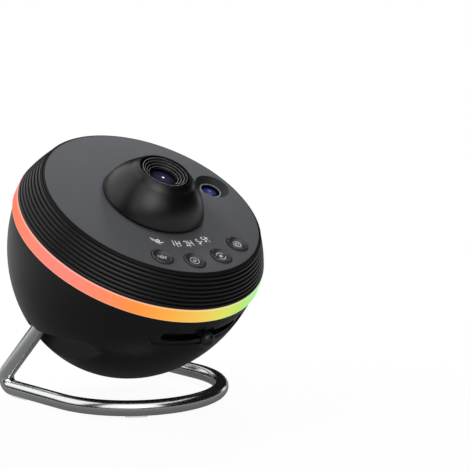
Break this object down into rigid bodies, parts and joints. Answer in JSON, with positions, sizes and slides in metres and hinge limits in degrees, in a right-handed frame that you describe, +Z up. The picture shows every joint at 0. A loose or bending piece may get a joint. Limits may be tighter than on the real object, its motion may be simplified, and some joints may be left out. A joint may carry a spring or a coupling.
{
  "type": "planetarium projector",
  "caption": "Egg-shaped star projector head with focusing dome, ribbed collar, glowing colour band, round keys and disc drawer, tilting on a bent chromed tube stand.",
  "frame": {"origin": "on the table below the middle of the overall box", "axes": "+X the way the head leans, +Y to the side that carries the small meteor lens, +Z up"},
  "size_m": [0.1308, 0.134, 0.1325],
  "materials": {
    "chromed_tube": "polished chrome plate on bent steel tube",
    "pad_rubber": "clear anti-slip silicone rubber",
    "lug_steel": "pressed steel, plain zinc finish",
    "shell_plastic": "black, semi-gloss moulded",
    "collar_plastic": "black, satin moulded ribs",
    "deck_plastic": "dark grey, fine matte texture",
    "dome_plastic": "black satin",
    "band_diffuser": "milky translucent diffuser, lit in drifting colours",
    "barrel_black": "black, glossy front rim and stepped inner baffles",
    "optical_glass": "coated lens glass",
    "meteor_glass": "blue-tinted lens",
    "bezel_grey": "pale grey, polished",
    "button_plastic": "black caps with white printed symbols",
    "drawer_plastic": "black, fine texture",
    "frame_plastic": "black inner moulding",
    "film": "printed star film on a clear disc",
    "gear_nylon": "off-white nylon",
    "screw_steel": "black-zinc screws and nuts",
    "motor_can": "drawn steel can",
    "heat_sink_alloy": "extruded, clear finish",
    "board_laminate": "green solder mask",
    "clear_plastic": "clear light guide",
    "inlet_shell": "nickel-plated socket shell"
  },
  "bodies": {
    "stand": {"stand_tube": "chromed_tube", "foot_pads": "pad_rubber", "arm_lug_left": "lug_steel", "arm_lug_right": "lug_steel"},
    "focus_dome": {"focus_dome": "dome_plastic"},
    "lens_barrel": {"lens_barrel": "barrel_black", "front_lens": "optical_glass", "rear_lens": "optical_glass", "lens_spacer": "barrel_black", "lens_retainer": "barrel_black"},
    "drawer": {"disc_drawer": "drawer_plastic", "drawer_knob": "drawer_plastic"},
    "disc": {"disc_carrier": "gear_nylon", "film_disc": "film"},
    "pinion": {"drive_pinion": "gear_nylon"},
    "button_meteor": {"button_meteor": "button_plastic"},
    "button_lamp": {"button_lamp": "button_plastic"},
    "button_rotation": {"button_rotation": "button_plastic"},
    "button_power": {"button_power": "button_plastic"},
    "head": {"lower_shell": "shell_plastic", "light_band": "band_diffuser", "band_led_strip": "board_laminate", "ribbed_collar": "collar_plastic", "case_screws": "screw_steel", "deck_plate": "deck_plastic", "mid_frame": "frame_plastic", "lens_guide": "frame_plastic", "dome_clip": "gear_nylon", "guide_screws": "screw_steel", "disc_motor": "motor_can", "lamp_housing": "frame_plastic", "pillar_screws": "screw_steel", "condenser_lens": "optical_glass", "lamp_board": "board_laminate", "heat_sink": "heat_sink_alloy", "lamp_screws": "screw_steel", "meteor_housing": "frame_plastic", "meteor_bezel": "bezel_grey", "meteor_lens": "meteor_glass", "meteor_mask": "barrel_black", "meteor_lamp_board": "board_laminate", "key_board": "board_laminate", "tact_switches": "button_plastic", "indicator_pipe": "clear_plastic", "key_screws": "screw_steel", "power_inlet": "inlet_shell", "power_board": "board_laminate", "bracket_screws": "screw_steel", "pivot_bolt_left": "screw_steel", "pivot_bolt_right": "screw_steel", "friction_washers_left": "gear_nylon", "friction_washers_right": "gear_nylon", "pivot_bush_left": "lug_steel", "pivot_bush_right": "lug_steel", "pivot_nut_left": "screw_steel", "pivot_nut_right": "screw_steel", "hinge_bracket_left": "lug_steel", "hinge_bracket_right": "lug_steel"}
  },
  "joints": [
    {"name": "tilt", "type": "hinge", "parent": "stand", "child": "head", "pos_m": [0.00275, 0, 0.0635], "axis": [0, 1, 0], "range_deg": [0, 60]},
    {"name": "focus_slide", "type": "slide", "parent": "head", "child": "lens_barrel", "axis": [0.5, 0, 0.866], "range_m": [-0.0019, 0.00095]},
    {"name": "focus_turn", "type": "hinge", "parent": "head", "child": "focus_dome", "pos_m": [0.01975, 0, 0.11224], "axis": [0.5, 0, 0.866], "range_deg": [-120, 60]},
    {"name": "drawer_slide", "type": "slide", "parent": "head", "child": "drawer", "axis": [0.866, 0, -0.5], "range_m": [0, 0.046]},
    {"name": "disc_spin", "type": "hinge", "parent": "drawer", "child": "disc", "pos_m": [-0.00325, 0, 0.07241], "axis": [0.5, 0, 0.866], "continuous": true},
    {"name": "pinion_spin", "type": "hinge", "parent": "head", "child": "pinion", "pos_m": [-0.02552, 0, 0.08527], "axis": [0.5, 0, 0.866], "continuous": true},
    {"name": "press_meteor", "type": "slide", "parent": "head", "child": "button_meteor", "axis": [-0.5, 0, -0.866], "range_m": [0, 0.0008], "stiffness_N_per_m": 400},
    {"name": "press_lamp", "type": "slide", "parent": "head", "child": "button_lamp", "axis": [-0.5, 0, -0.866], "range_m": [0, 0.0008], "stiffness_N_per_m": 400},
    {"name": "press_rotation", "type": "slide", "parent": "head", "child": "button_rotation", "axis": [-0.5, 0, -0.866], "range_m": [0, 0.0008], "stiffness_N_per_m": 400},
    {"name": "press_power", "type": "slide", "parent": "head", "child": "button_power", "axis": [-0.5, 0, -0.866], "range_m": [0, 0.0008], "stiffness_N_per_m": 400}
  ],
  "couplings": [
    {"joint": "focus_turn", "follows": "focus_slide", "rad_per_m": 1100},
    {"joint": "pinion_spin", "follows": "disc_spin", "ratio": -3.5714}
  ]
}
